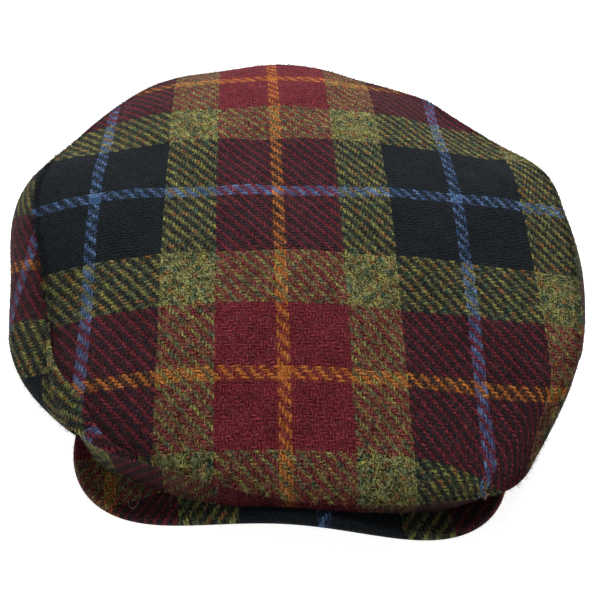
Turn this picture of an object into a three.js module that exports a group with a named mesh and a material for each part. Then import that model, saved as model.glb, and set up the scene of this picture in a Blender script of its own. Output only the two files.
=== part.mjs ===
// Flat cap in checked wool tweed: a one-piece top, two side panels, a front band and a stiff peak.
// Millimetres, +Z up. The peak points along -Y, so +X is the wearer's left.
// The origin is the middle of the footprint, on the surface that the hem rests on.
import * as THREE from 'three';
import { mergeVertices } from 'three/addons/utils/BufferGeometryUtils.js';

// Cloth and clearances
const CLOTH = 2.0;
const GAP = 0.3;
const SEAM_HALF_ANGLE = 0.1;
const WIDEST_EDGE = 6.0;
const STEEPEST_WALL = 2.6;

// Crown: bearings run anticlockwise from the front, about a point inside the head opening
const CROWN_X = -3.5;
const CROWN_Y = -15.0;
const APEX_HEIGHT = 63.3;
const RISE_TO_BACK = 0.163;

// Head opening: an oval for a 57 cm head
const RIM_HALF_WIDTH = 90;
const RIM_HALF_LENGTH = 92;
const RIM_Y = 12;
const HEM_WIDTH = 4;

// Peak: a curved board with a blunt rounded outline, arched across its width
const PEAK_X = 4.2;
const PEAK_TURN = 1.8;
const PEAK_HALF_WIDTH = 85.3;
const PEAK_WIDEST_Y = -69;
const PEAK_DEPTH = 58.5;
const PEAK_BLUNTNESS = 2.8;
const PEAK_THICKNESS = 4.0;
const PEAK_LIFT = 17.5;
const PEAK_ARCH = 2.5;
const PEAK_SLOPE = 0.15;
const PEAK_END = 73;
const PEAK_STEP = 0.7;

// Front band: the strip between the crease and the peak
const BAND_END = 48;
const FOOT_INSET = 4.5;
const FOOT_SWELL_LEFT = 5.3;
const FOOT_SWELL_RIGHT = 8.8;
const FOOT_SWELL_END = 60;
const FOOT_SWELL_POWER = 3;
const FOOT_SHARE = 0.45;

// How finely the pieces are drawn
const TOP_BEARINGS = 80;
const TOP_RINGS = 12;
const WALL_STEP = 4.1;
const SIDE_ROWS = 8;
const BAND_ROWS = 3;
const PEAK_ROWS = 5;
const NOSE_ROWS = 4;

// One row for each section of the crown, 22.5 degrees apart from the front round by +X.
// reach: plan distance of the seam between top and sides. height: height of that seam.
// slump: 1 is an evenly domed section, less is fuller near the seam, more is flatter there.
// bulge: plan distance of the side wall halfway down.
const SECTIONS = [
  { reach: 106.0, height: 27.0, slump: 0.89, bulge: 104.0 },
  { reach: 110.0, height: 23.5, slump: 1.02, bulge: 111.0 },
  { reach: 128.5, height: 17.0, slump: 1.23, bulge: 126.0 },
  { reach: 121.5, height: 36.5, slump: 1.30, bulge: 116.0 },
  { reach: 118.0, height: 49.0, slump: 1.31, bulge: 126.0 },
  { reach: 131.0, height: 64.0, slump: 1.22, bulge: 134.0 },
  { reach: 120.5, height: 62.0, slump: 1.13, bulge: 137.5 },
  { reach: 126.5, height: 66.5, slump: 1.00, bulge: 138.5 },
  { reach: 132.0, height: 70.0, slump: 0.88, bulge: 143.5 },
  { reach: 140.0, height: 66.5, slump: 0.73, bulge: 137.0 },
  { reach: 121.5, height: 59.0, slump: 0.59, bulge: 139.5 },
  { reach: 118.5, height: 59.0, slump: 0.45, bulge: 134.0 },
  { reach: 98.0, height: 52.5, slump: 0.37, bulge: 109.5 },
  { reach: 94.0, height: 38.0, slump: 0.40, bulge: 116.0 },
  { reach: 113.0, height: 27.5, slump: 0.58, bulge: 103.5 },
  { reach: 102.5, height: 31.0, slump: 0.68, bulge: 103.0 },
];

// Soft dents in the top: where each lies, how wide it is and how deep.
const DENTS = [
  { x: 74, y: 78, width: 24, depth: 3.5 },
  { x: -86, y: 52, width: 22, depth: 1.5 },
];

// Places where the stitching pulls the seam: bearing, width in degrees, how far down and how far in.
const SEAM_PULLS = [
  { bearing: 57, width: 8, down: 0, inward: 4.8 },
  { bearing: 78, width: 9, down: 0, inward: -1.4 },
  { bearing: 104, width: 9, down: 0, inward: 2.2 },
  { bearing: 127, width: 9, down: 2.4, inward: 0 },
  { bearing: 236, width: 8, down: 2.6, inward: 0 },
];

const radians = THREE.MathUtils.degToRad;

// Smooth periodic curve through one column of the sections (uniform cubic B-spline).
function section(column, bearing) {
  const count = SECTIONS.length;
  const place = THREE.MathUtils.euclideanModulo(bearing / 360, 1) * count;
  const first = Math.floor(place);
  const f = place - first;
  const weights = [
    (1 - f) ** 3 / 6,
    (3 * f ** 3 - 6 * f ** 2 + 4) / 6,
    (-3 * f ** 3 + 3 * f ** 2 + 3 * f + 1) / 6,
    f ** 3 / 6,
  ];
  let sum = 0;
  weights.forEach((weight, k) => {
    sum += weight * SECTIONS[(first + k - 1 + count) % count][column];
  });
  return sum;
}

// How far the seam is pulled at a bearing, down or inward.
function seamPull(direction, bearing) {
  let sum = 0;
  for (const pull of SEAM_PULLS) {
    const away = THREE.MathUtils.euclideanModulo(bearing - pull.bearing + 180, 360) - 180;
    sum += pull[direction] * Math.exp(-((away / pull.width) ** 2));
  }
  return sum;
}

function seamHeight(bearing) {
  return section('height', bearing) - seamPull('down', bearing);
}

function seamReach(bearing) {
  return section('reach', bearing) - seamPull('inward', bearing);
}

// Point at a bearing and reach from the crown's middle, at a given height.
function crownPoint(bearing, reach, height) {
  const angle = radians(bearing);
  return new THREE.Vector3(CROWN_X + reach * Math.sin(angle), CROWN_Y - reach * Math.cos(angle), height);
}

// Total depth of the dents at a place on the top.
function dentDepth(x, y) {
  let depth = 0;
  for (const dent of DENTS) {
    const away = ((x - dent.x) ** 2 + (y - dent.y) ** 2) / dent.width ** 2;
    depth += dent.depth * Math.exp(-away);
  }
  return depth;
}

// Point on the top: share runs from 0 at the middle to 1 at the seam; inset thins it to the inner face.
function topPoint(bearing, share, inset) {
  const height = seamHeight(bearing);
  const slump = section('slump', bearing);
  const fullReach = seamReach(bearing);
  const rise = APEX_HEIGHT + RISE_TO_BACK * -Math.cos(radians(bearing)) * fullReach - height;
  const edgeSlope = ((4 - 2 * slump) * Math.max(rise, CLOTH)) / fullReach;
  const edgeWidth = Math.min(WIDEST_EDGE, CLOTH * Math.hypot(1, 1 / edgeSlope));
  const reach = (fullReach - inset * edgeWidth) * share;
  const point = crownPoint(bearing, reach, 0);
  const domed = 1 - slump * share ** 2 - (1 - slump) * share ** 4;
  const apex = APEX_HEIGHT - inset * CLOTH + RISE_TO_BACK * (point.y - CROWN_Y);
  const fade = 1 - share ** 8;
  point.z = height + (apex - height) * domed - fade * dentDepth(point.x, point.y);
  return point;
}

// Reach of the head opening's oval from the crown's middle.
function rimReach(bearing) {
  const dx = Math.sin(radians(bearing)) / RIM_HALF_WIDTH;
  const dy = -Math.cos(radians(bearing)) / RIM_HALF_LENGTH;
  const ox = CROWN_X / RIM_HALF_WIDTH;
  const oy = (CROWN_Y - RIM_Y) / RIM_HALF_LENGTH;
  const a = dx * dx + dy * dy;
  const b = dx * ox + dy * oy;
  const c = ox * ox + oy * oy - 1;
  return (Math.sqrt(b * b - a * c) - b) / a;
}

// A point in the peak's own directions, before its small turn.
function inPeak(point) {
  const turn = radians(PEAK_TURN);
  const x = point.x - PEAK_X;
  return { x: x * Math.cos(turn) - point.y * Math.sin(turn), y: x * Math.sin(turn) + point.y * Math.cos(turn) };
}

// Reach of the peak's outline: a superellipse in front, straight sides behind its widest place.
function peakReach(bearing) {
  let inside = 0;
  let outside = 2 * PEAK_HALF_WIDTH;
  for (let step = 0; step < 40; step += 1) {
    const middle = (inside + outside) / 2;
    const local = inPeak(crownPoint(bearing, middle, 0));
    const across = Math.abs(local.x) / PEAK_HALF_WIDTH;
    const ahead = Math.max(0, (PEAK_WIDEST_Y - local.y) / PEAK_DEPTH);
    if (across ** PEAK_BLUNTNESS + ahead ** PEAK_BLUNTNESS < 1) {
      inside = middle;
    } else {
      outside = middle;
    }
  }
  return inside;
}

// Height of the middle of the board: arched along its edge, rising from the edge to the root.
function peakHeight(bearing, reach) {
  const edge = peakReach(bearing);
  const across = inPeak(crownPoint(bearing, edge, 0)).x / PEAK_HALF_WIDTH;
  return PEAK_THICKNESS / 2 + PEAK_LIFT * Math.max(0, 1 - across ** 2) ** PEAK_ARCH + PEAK_SLOPE * (edge - reach);
}

// Bearing folded to the nearer side of the front, 0 to 180.
function fromFront(bearing) {
  const turned = THREE.MathUtils.euclideanModulo(bearing, 360);
  return Math.min(turned, 360 - turned);
}

// Foot of the upright walls: on the peak at the front, on the hem round the rest of the head opening.
// On the peak it keeps back from the edge, most of all halfway to its corners.
function wallFoot(bearing) {
  const rim = rimReach(bearing);
  if (fromFront(bearing) > PEAK_END + 1.5 * PEAK_STEP) {
    return { reach: rim + HEM_WIDTH, height: 0, slope: 0 };
  }
  const edge = peakReach(bearing);
  const most = Math.sin(radians(bearing)) > 0 ? FOOT_SWELL_LEFT : FOOT_SWELL_RIGHT;
  const swell = most * Math.sin(Math.min(1, fromFront(bearing) / FOOT_SWELL_END) * Math.PI) ** FOOT_SWELL_POWER;
  const reach = edge - Math.min(FOOT_INSET + swell, FOOT_SHARE * (edge - rim));
  return { reach, height: peakHeight(bearing, reach) + PEAK_THICKNESS / 2 + GAP, slope: PEAK_SLOPE };
}

// Point on an upright wall: drop runs from 0 at the seam to 1 at the foot.
// A side panel swells out through its bulge; the band runs straight down.
function wallPoint(bearing, drop, inset, swells) {
  const seam = seamReach(bearing);
  const top = seamHeight(bearing) - GAP;
  const foot = wallFoot(bearing);
  const bulge = swells ? section('bulge', bearing) : (seam + foot.reach) / 2;
  const reach = seam * (1 - drop) * (1 - 2 * drop) + 4 * bulge * drop * (1 - drop) + foot.reach * drop * (2 * drop - 1);
  const lean = seam * (4 * drop - 3) + bulge * (4 - 8 * drop) + foot.reach * (4 * drop - 1);
  const widening = Math.min(STEEPEST_WALL, Math.hypot(1, lean / (top - foot.height)));
  const thick = inset * CLOTH * widening;
  return crownPoint(bearing, reach - thick, top + (foot.height - top) * drop + drop * foot.slope * thick);
}

// Point on the peak: share runs from 0 at the root to 1 at the edge; side is +1 on top and -1 below.
function peakPoint(bearing, share, side) {
  const root = rimReach(bearing);
  const edge = peakReach(bearing);
  const reach = root + (edge - root) * share;
  const nose = Math.max(0, 1 - (edge - reach) / (PEAK_THICKNESS / 2));
  const half = (PEAK_THICKNESS / 2) * Math.sqrt(1 - nose ** 2);
  return crownPoint(bearing, reach, peakHeight(bearing, reach) + side * half);
}

// Evenly spaced bearings between two ends, both kept.
function bearingsBetween(first, last, step) {
  const count = Math.round((last - first) / step);
  return Array.from({ length: count + 1 }, (_, k) => first + ((last - first) * k) / count);
}

// Closed wall between an outer and an inner grid of points, rows by columns.
// With wrap the last column joins the first; rows or edges that meet in a point close themselves.
function closedWall(outer, inner, wrap) {
  const positions = [];
  const rows = outer.length;
  const columns = outer[0].length;
  const quad = (a, b, c, d) => {
    for (const point of [a, b, c, a, c, d]) {
      positions.push(point.x, point.y, point.z);
    }
  };
  const lastColumn = wrap ? columns : columns - 1;
  for (let j = 0; j < lastColumn; j += 1) {
    const next = (j + 1) % columns;
    for (let i = 0; i + 1 < rows; i += 1) {
      quad(outer[i][j], outer[i + 1][j], outer[i + 1][next], outer[i][next]);
      quad(inner[i][next], inner[i + 1][next], inner[i + 1][j], inner[i][j]);
    }
    quad(inner[0][j], outer[0][j], outer[0][next], inner[0][next]);
    quad(outer[rows - 1][j], inner[rows - 1][j], inner[rows - 1][next], outer[rows - 1][next]);
  }
  if (!wrap) {
    for (let i = 0; i + 1 < rows; i += 1) {
      quad(inner[i][0], inner[i + 1][0], outer[i + 1][0], outer[i][0]);
      quad(outer[i][lastColumn], outer[i + 1][lastColumn], inner[i + 1][lastColumn], inner[i][lastColumn]);
    }
  }
  const loose = new THREE.BufferGeometry();
  loose.setAttribute('position', new THREE.Float32BufferAttribute(positions, 3));
  const merged = mergeVertices(loose, 1e-4);
  const kept = [];
  for (let t = 0; t < merged.index.count; t += 3) {
    const corners = [merged.index.getX(t), merged.index.getX(t + 1), merged.index.getX(t + 2)];
    if (new Set(corners).size === 3) {
      kept.push(...corners);
    }
  }
  merged.setIndex(kept);
  merged.computeVertexNormals();
  return merged;
}

function tweed(colour) {
  return new THREE.MeshStandardMaterial({ color: colour, roughness: 0.95, metalness: 0, side: THREE.FrontSide });
}

function piece(name, geometry, colour) {
  const mesh = new THREE.Mesh(geometry, tweed(colour));
  mesh.name = name;
  return mesh;
}

// Top panel: rings from the middle to the seam, closer together towards the seam.
function topPanel() {
  const bearings = bearingsBetween(0, 360, 360 / TOP_BEARINGS).slice(0, TOP_BEARINGS);
  const face = (inset) => Array.from({ length: TOP_RINGS + 1 }, (_, ring) => {
    const share = Math.sin((ring / TOP_RINGS) * (Math.PI / 2));
    return bearings.map((bearing) => topPoint(bearing, share, inset));
  });
  return closedWall(face(0), face(1), true);
}

// An upright wall over a list of bearings.
function upright(bearings, rows, swells) {
  const face = (inset) => Array.from({ length: rows + 1 }, (_, row) => (
    bearings.map((bearing) => wallPoint(bearing, row / rows, inset, swells))
  ));
  return closedWall(face(0), face(1), false);
}

// Side panel from the front band round to the centre-back seam, stepping off the peak's end on its way.
function sidePanel(towardsLeft) {
  const first = BAND_END + SEAM_HALF_ANGLE;
  const last = 180 - SEAM_HALF_ANGLE;
  const onPeak = bearingsBetween(first, PEAK_END + PEAK_STEP, WALL_STEP);
  const onFloor = bearingsBetween(PEAK_END + 2 * PEAK_STEP, last, WALL_STEP);
  const bearings = [...onPeak, ...onFloor];
  if (!towardsLeft) {
    bearings.reverse();
  }
  return upright(bearings.map((bearing) => (towardsLeft ? bearing : 360 - bearing)), SIDE_ROWS, true);
}

function frontBand() {
  const end = BAND_END - SEAM_HALF_ANGLE;
  return upright(bearingsBetween(-end, end, WALL_STEP), BAND_ROWS, false);
}

// Peak: even rows over the board, then closer rows round its front edge.
function peak() {
  const bearings = bearingsBetween(-PEAK_END, PEAK_END, WALL_STEP);
  const face = (side) => {
    const rows = [];
    for (let row = 0; row < PEAK_ROWS; row += 1) {
      rows.push(bearings.map((bearing) => {
        const board = 1 - PEAK_THICKNESS / 2 / (peakReach(bearing) - rimReach(bearing));
        return peakPoint(bearing, (board * row) / PEAK_ROWS, side);
      }));
    }
    for (let row = 0; row <= NOSE_ROWS; row += 1) {
      const round = 1 - Math.sin((row / NOSE_ROWS) * (Math.PI / 2));
      rows.push(bearings.map((bearing) => {
        const nose = PEAK_THICKNESS / 2 / (peakReach(bearing) - rimReach(bearing));
        return peakPoint(bearing, 1 - nose * round, side);
      }));
    }
    return rows;
  };
  return closedWall(face(1), face(-1), false);
}

const cap = new THREE.Group();
cap.name = 'flat_cap';
cap.add(piece('top_panel', topPanel(), 0x5a1f2a));
cap.add(piece('side_panel_left', sidePanel(true), 0x3d2226));
cap.add(piece('side_panel_right', sidePanel(false), 0x4a3a22));
cap.add(piece('front_band', frontBand(), 0x4a1a22));
cap.add(piece('peak', peak(), 0x26221f));

export default cap;
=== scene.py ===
import math

import bpy
import numpy as np
from mathutils import Matrix


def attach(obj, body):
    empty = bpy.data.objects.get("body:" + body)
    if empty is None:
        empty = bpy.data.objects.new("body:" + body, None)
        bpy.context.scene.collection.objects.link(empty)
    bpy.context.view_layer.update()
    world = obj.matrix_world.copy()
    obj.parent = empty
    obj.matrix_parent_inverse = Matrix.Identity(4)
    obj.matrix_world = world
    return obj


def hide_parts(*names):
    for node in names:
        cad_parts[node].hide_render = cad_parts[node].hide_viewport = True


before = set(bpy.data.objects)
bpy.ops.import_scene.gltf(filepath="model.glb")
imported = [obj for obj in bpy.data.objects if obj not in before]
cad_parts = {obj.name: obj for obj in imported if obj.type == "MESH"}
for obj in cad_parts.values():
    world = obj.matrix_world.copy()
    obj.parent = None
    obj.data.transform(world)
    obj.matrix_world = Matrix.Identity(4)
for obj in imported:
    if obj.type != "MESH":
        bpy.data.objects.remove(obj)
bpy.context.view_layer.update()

mm = 0.001  # everything below is worked out in millimetres

# the crown's form, in the solids' own numbers but for the last five pulls
crown = {
    "middle": (-3.5, -15.0),  # bearings turn about this place, 0 at the front, 90 towards +X
    "apexHeight": 63.3,
    "riseToBack": 0.163,
    "cloth": 2.0,  # thickness of the tweed
    "widestEdge": 6.0,
    "steepestWall": 2.6,
    "calmEdge": 8,  # power that keeps dents and ripples off the seam
    "fallPastSeam": 60.0,  # how steeply the height is read on beyond the seam
    # reach of the seam, height of the seam, slump of the section, reach of the bulge under the seam
    "sections": np.array([
        (106.0, 27.0, 0.89, 104.0),
        (110.0, 23.5, 1.02, 111.0),
        (128.5, 17.0, 1.23, 126.0),
        (121.5, 36.5, 1.30, 116.0),
        (118.0, 49.0, 1.31, 126.0),
        (131.0, 64.0, 1.22, 134.0),
        (120.5, 62.0, 1.13, 137.5),
        (126.5, 66.5, 1.00, 138.5),
        (132.0, 70.0, 0.88, 143.5),
        (140.0, 66.5, 0.73, 137.0),
        (121.5, 59.0, 0.59, 139.5),
        (118.5, 59.0, 0.45, 134.0),
        (98.0, 52.5, 0.37, 109.5),
        (94.0, 38.0, 0.40, 116.0),
        (113.0, 27.5, 0.58, 103.5),
        (102.5, 31.0, 0.68, 103.0),
    ]),
    # where the stitching pulls the seam: bearing, width in degrees, how far down, how far in
    "pulls": [
        (57, 8, 0, 4.8), (78, 9, 0, -1.4), (104, 9, 0, 2.2), (127, 9, 2.4, 0), (236, 8, 2.6, 0),
        (43, 6, 1.3, -1.6), (58, 9, 0, -1.6), (195.5, 10, 2.3, 2.7), (165, 6, 0.8, 0.9), (148, 6, -1.2, -1.3),
    ],
    "dents": [(74, 78, 24, 3.5), (-86, 52, 22, 1.5)],  # x, y, width, depth
    # soft unevenness of the cloth: height, wavelength across, wavelength along, phase
    "ripples": [(0.28, 61, 83, 0.4), (0.22, -47, 58, 1.9), (0.16, 33, -41, 4.1), (0.12, -27, -23, 2.6)],
}
reachColumn, heightColumn, slumpColumn, bulgeColumn = range(4)


# degrees from a place to a bearing, the short way round
def turnFrom(bearing, place):
    return np.mod(np.asarray(bearing) - place + 180, 360) - 180


# bell curve along the bearing
def bellAt(bearing, place, width):
    return np.exp(-(turnFrom(bearing, place) / width) ** 2)


# uniform cubic B-spline round one column of the section table, periodic in the bearing (degrees)
def alongSections(column, bearing):
    values = crown["sections"][:, column]
    count = len(values)
    place = np.mod(np.asarray(bearing, float) / 360.0, 1.0) * count
    first = np.floor(place).astype(int)
    f = place - first
    weights = [(1 - f) ** 3, 3 * f ** 3 - 6 * f ** 2 + 4, -3 * f ** 3 + 3 * f ** 2 + 3 * f + 1, f ** 3]
    return sum(w * values[(first + k - 1) % count] for k, w in enumerate(weights)) / 6


# height and reach of the seam: the table's curve less the pulls, each a bell curve along the bearing
def seamLine(bearing):
    height, reach = alongSections(heightColumn, bearing), alongSections(reachColumn, bearing)
    for place, width, down, inward in crown["pulls"]:
        bell = bellAt(bearing, place, width)
        height, reach = height - down * bell, reach - inward * bell
    return height, reach


# plan place at a bearing and reach from the crown's middle
def planPlace(bearing, reach):
    angle = np.radians(bearing)
    return crown["middle"][0] + reach * np.sin(angle), crown["middle"][1] - reach * np.cos(angle)


# the dents are bell curves, the ripples products of long sines
def softDepth(x, y):
    depth = sum(d * np.exp(-((x - cx) ** 2 + (y - cy) ** 2) / w ** 2) for cx, cy, w, d in crown["dents"])
    for high, across, along, phase in crown["ripples"]:
        depth = depth + high * np.sin(2 * np.pi * (x / across + y / along) + phase)
    return depth


# top surface: height = seam + rise * (1 - slump s^2 - (1 - slump) s^4), s from the middle to the seam;
# the inner face is the same dome, one cloth lower and drawn in by the width of the edge
def topSurface(bearing, share, inset=0.0):
    height, fullReach = seamLine(bearing)
    slump = alongSections(slumpColumn, bearing)
    rise = crown["apexHeight"] - crown["riseToBack"] * np.cos(np.radians(bearing)) * fullReach - height
    edgeSlope = (4 - 2 * slump) * np.maximum(rise, crown["cloth"]) / fullReach
    edgeWidth = np.minimum(crown["widestEdge"], crown["cloth"] * np.hypot(1, 1 / edgeSlope))
    x, y = planPlace(bearing, (fullReach - inset * edgeWidth) * share)
    s = np.minimum(share, 1.0)
    domed = 1 - slump * s ** 2 - (1 - slump) * s ** 4
    apex = crown["apexHeight"] - inset * crown["cloth"] + crown["riseToBack"] * (y - crown["middle"][1])
    return x, y, height + (apex - height) * domed - (1 - s ** crown["calmEdge"]) * softDepth(x, y)


# bearing of a plan place, and its share of the way from the middle to the seam
def fromMiddle(x, y):
    bearing = np.degrees(np.arctan2(x - crown["middle"][0], crown["middle"][1] - y))
    return bearing, np.hypot(x - crown["middle"][0], y - crown["middle"][1]) / seamLine(bearing)[1]


# the same height read at a plan place; past the seam it falls away steeply
def topHeight(x, y):
    bearing, share = fromMiddle(x, y)
    return topSurface(bearing, share)[2] - crown["fallPastSeam"] * np.maximum(share - 1, 0)


# weave places: arc lengths over the top, across at constant y and along at constant x
cloth = {
    "pitchAcross": 1.27,  # one warp yarn, mm
    "pitchAlong": 1.479,  # one weft yarn, mm
    "topShift": (0.71, -66.9),  # where the gold lines cross, mm from the crown's middle
    "topTurn": 3.1,
    "tableHalf": 140,  # mm that the tables of lengths reach from the origin, one entry each mm
    # cloth eased in at the seam: bearing, width in degrees, share where it starts, extra warp and weft yarns
    "eased": [(43, 10, 0.70, 0.0, 7.0), (50, 12, 0.92, 14.0, 0.0)],
}
gridSteps = np.arange(-cloth["tableHalf"], cloth["tableHalf"] + 1.0)
gridX, gridY = np.meshgrid(gridSteps, gridSteps, indexing="ij")
gridZ = topHeight(gridX, gridY)
lengthAcross = np.cumsum(np.hypot(1, np.diff(gridZ, axis=0, prepend=gridZ[:1])), axis=0)
lengthAlong = np.cumsum(np.hypot(1, np.diff(gridZ, axis=1, prepend=gridZ[:, :1])), axis=1)


# value of a table at plan places, blended between its four nearest entries
def readTable(table, x, y):
    last = len(gridSteps) - 1.001  # just short of the last entry, so that there is one after it
    i = np.clip(x - gridSteps[0], 0, last)
    j = np.clip(y - gridSteps[0], 0, last)
    i0, j0 = i.astype(int), j.astype(int)
    fi, fj = i - i0, j - j0
    low = table[i0, j0] * (1 - fj) + table[i0, j0 + 1] * fj
    high = table[i0 + 1, j0] * (1 - fj) + table[i0 + 1, j0 + 1] * fj
    return low * (1 - fi) + high * fi


# thread counts on the top: arc lengths from the middle, shifted and turned, over the yarn pitches
def topThreads(x, y):
    middleX, middleY = (np.full_like(x, m) for m in crown["middle"])
    across = readTable(lengthAcross, x, y) - readTable(lengthAcross, middleX, y)
    along = readTable(lengthAlong, x, y) - readTable(lengthAlong, x, middleY) - cloth["topShift"][1]
    turn = math.radians(cloth["topTurn"])
    warp = across * math.cos(turn) + along * math.sin(turn) - cloth["topShift"][0]
    weft = along * math.cos(turn) - across * math.sin(turn)
    threads = np.stack([warp / cloth["pitchAcross"], weft / cloth["pitchAlong"]], -1)
    bearing, share = fromMiddle(x, y)
    for place, width, start, extraWarp, extraWeft in cloth["eased"]:
        nearSeam = np.clip((share - start) / (1 - start), 0, 1) ** 2
        extra = bellAt(bearing, place, width) * nearSeam
        threads = threads + extra[..., None] * np.array([extraWarp, extraWeft])
    return threads


def unit(vectors):
    return vectors / np.linalg.norm(vectors, axis=-1, keepdims=True)


# quads of a grid of vertex numbers, facing out when rows run outwards or down and columns anticlockwise
def gridQuads(index, wrap=False, flip=False):
    ahead = np.roll(index, -1, axis=1) if wrap else index[:, 1:]
    here = index if wrap else index[:, :-1]
    quads = np.stack([here[:-1], here[1:], ahead[1:], ahead[:-1]], -1).reshape(-1, 4)
    return quads[:, ::-1] if flip else quads


sharpTurn = math.radians(60)  # edges that turn more than this stay crisp


# one mesh with its thread counts as a UV map; points that no face uses are left out, and a face of four
# corners with one repeated becomes a triangle; its attribute is the share of the colour left under painted
# shade
def makePiece(name, points, quads, threads, material, node=None, unshaded=None):
    used, quads = np.unique(quads, return_inverse=True)
    points, threads, quads = points[used], threads[used], quads.reshape(-1, 4)
    repeats = quads == np.roll(quads, 1, axis=1)  # a corner that is the same point as the one before it
    threeSided = repeats.any(axis=1)
    triangles = quads[threeSided][~repeats[threeSided]].reshape(-1, 3)
    mesh = bpy.data.meshes.new(name)
    mesh.from_pydata((points * mm).tolist(), [], quads[~threeSided].tolist() + triangles.tolist())
    layer = mesh.uv_layers.new(name="threads")
    corners = np.empty(len(mesh.loops), dtype=np.int32)
    mesh.loops.foreach_get("vertex_index", corners)
    layer.data.foreach_set("uv", threads[corners].astype(np.float32).ravel())
    # share of the colour left under painted shade, 1 where none is painted
    share = np.ones(len(points)) if unshaded is None else unshaded[used]
    mesh.attributes.new("unshaded", "FLOAT", "POINT").data.foreach_set("value", share.astype(np.float32))
    mesh.polygons.foreach_set("use_smooth", np.ones(len(mesh.polygons), dtype=bool))
    mesh.set_sharp_from_angle(angle=sharpTurn)
    mesh.materials.append(material)
    piece = bpy.data.objects.new(name, mesh)
    bpy.context.scene.collection.objects.link(piece)
    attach(piece, "root")
    if node:
        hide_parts(node)
    print("made", name, len(mesh.vertices), "points", len(mesh.polygons), "faces")


# closed wall between an outer and an inner grid with the same columns; a pole row is one point
def shellPiece(name, outer, inner, outerThreads, innerThreads, material, node,
               wrap=False, pole=False, unshaded=None):
    rows, columns = outer.shape[:2]
    innerRows = inner.shape[0]
    first = np.arange(rows * columns).reshape(rows, columns)
    second = rows * columns + np.arange(innerRows * columns).reshape(innerRows, columns)
    if pole:
        first[0] = first[0, 0]
        second[0] = second[0, 0]
    quads = [gridQuads(first, wrap), gridQuads(second, wrap, flip=True)]
    quads.append(gridQuads(np.stack([first[-1], second[-1]]), wrap))
    if not pole:
        quads.append(gridQuads(np.stack([second[0], first[0]]), wrap))
    points = np.concatenate([outer.reshape(-1, 3), inner.reshape(-1, 3)])
    threads = np.concatenate([outerThreads.reshape(-1, 2), innerThreads.reshape(-1, 2)])
    if not wrap:
        # both grids have the same rows here, so their end columns meet row by row
        quads.append(gridQuads(np.stack([second[:, 0], first[:, 0]], 1)))
        quads.append(gridQuads(np.stack([first[:, -1], second[:, -1]], 1)))
    makePiece(name, points, np.concatenate(quads), threads, material, node, unshaded)


# half of the sett, gold, red, green, black and blue: first thread, how loosely the yarn is spun, how far its
# floats spread (in threads), how much is teased through where it crosses, then its own colour, its flecks,
# the dark and the odd wool spun in, and its loose fibres
# the Pale colour is the loose fibres' own, and is also laid on the strands as a partly painted highlight
tweed = [
    {"first": 0.0, "Loose": 0.20, "Spread": 0.06, "Tease": 0.25,
     "Yarn": (0.33, 0.082, 0.013), "Fleck": (0.42, 0.125, 0.020), "Dark": (0.18, 0.038, 0.011),
     "Odd": (0.36, 0.120, 0.026), "Pale": (0.60, 0.28, 0.08)},
    {"first": 2.0, "Loose": 0.32, "Spread": 0.02, "Tease": 0.42,
     "Yarn": (0.116, 0.0088, 0.0142), "Fleck": (0.145, 0.0118, 0.0182), "Dark": (0.084, 0.0070, 0.0108),
     "Odd": (0.131, 0.0135, 0.0165), "Pale": (0.23, 0.070, 0.085)},
    {"first": 20.0, "Loose": 1.00, "Spread": 0.39, "Tease": 0.34,
     "Yarn": (0.071, 0.074, 0.028), "Fleck": (0.192, 0.181, 0.040), "Dark": (0.014, 0.055, 0.040),
     "Odd": (0.195, 0.066, 0.018), "Pale": (0.27, 0.28, 0.13)},
    {"first": 37.0, "Loose": 0.02, "Spread": 0.42, "Tease": 0.30,
     "Yarn": (0.0050, 0.0080, 0.0110), "Fleck": (0.0066, 0.0100, 0.0132), "Dark": (0.0042, 0.0071, 0.0098),
     "Odd": (0.007, 0.008, 0.009), "Pale": (0.022, 0.028, 0.033)},
    {"first": 58.0, "Loose": 0.16, "Spread": 0.14, "Tease": 0.27,
     "Yarn": (0.019, 0.057, 0.142), "Fleck": (0.082, 0.155, 0.295), "Dark": (0.013, 0.030, 0.093),
     "Odd": (0.04, 0.060, 0.14), "Pale": (0.20, 0.28, 0.42)},
]
settHalf = 60.0  # threads from the gold line to the blue one, where the sett turns back


# a number is set on the socket, anything else is linked to it
def feed(tree, socket, value):
    if isinstance(value, (int, float)):
        socket.default_value = value
    else:
        tree.links.new(value, socket)


def putMath(tree, operation, *values):
    node = tree.nodes.new("ShaderNodeMath")
    node.operation = operation
    for k, value in enumerate(values):
        feed(tree, node.inputs[k], value)
    return node.outputs[0]


def putMix(tree, factor, first, second, kind="RGBA", blend="MIX"):
    node = tree.nodes.new("ShaderNodeMix")
    node.data_type = kind
    if kind == "RGBA":
        node.blend_type = blend
    firstAt, secondAt, resultAt = {"RGBA": (6, 7, 2), "FLOAT": (2, 3, 0)}[kind]  # the sockets of that kind
    feed(tree, node.inputs[0], factor)
    feed(tree, node.inputs[firstAt], first)
    feed(tree, node.inputs[secondAt], second)
    return node.outputs[resultAt]


def putVector(tree, x, y, z):
    node = tree.nodes.new("ShaderNodeCombineXYZ")
    for k, value in enumerate((x, y, z)):
        feed(tree, node.inputs[k], value)
    return node.outputs[0]


def putNoise(tree, vector, scale, detail=2.0, rough=0.5, output="Fac"):
    node = tree.nodes.new("ShaderNodeTexNoise")
    node.inputs["Scale"].default_value = scale
    node.inputs["Detail"].default_value = detail
    node.inputs["Roughness"].default_value = rough
    tree.links.new(vector, node.inputs["Vector"])
    return node.outputs[output]


# colours that change in steps
def putSteps(tree, factor, stops):
    node = tree.nodes.new("ShaderNodeValToRGB")
    ramp = node.color_ramp
    ramp.interpolation = "CONSTANT"
    while len(ramp.elements) < len(stops):
        ramp.elements.new(0.5)
    for element, (place, colour) in zip(ramp.elements, stops):
        element.position = place
        element.color = (*colour, 1.0)
    tree.links.new(factor, node.inputs[0])
    return node.outputs[0]


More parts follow.
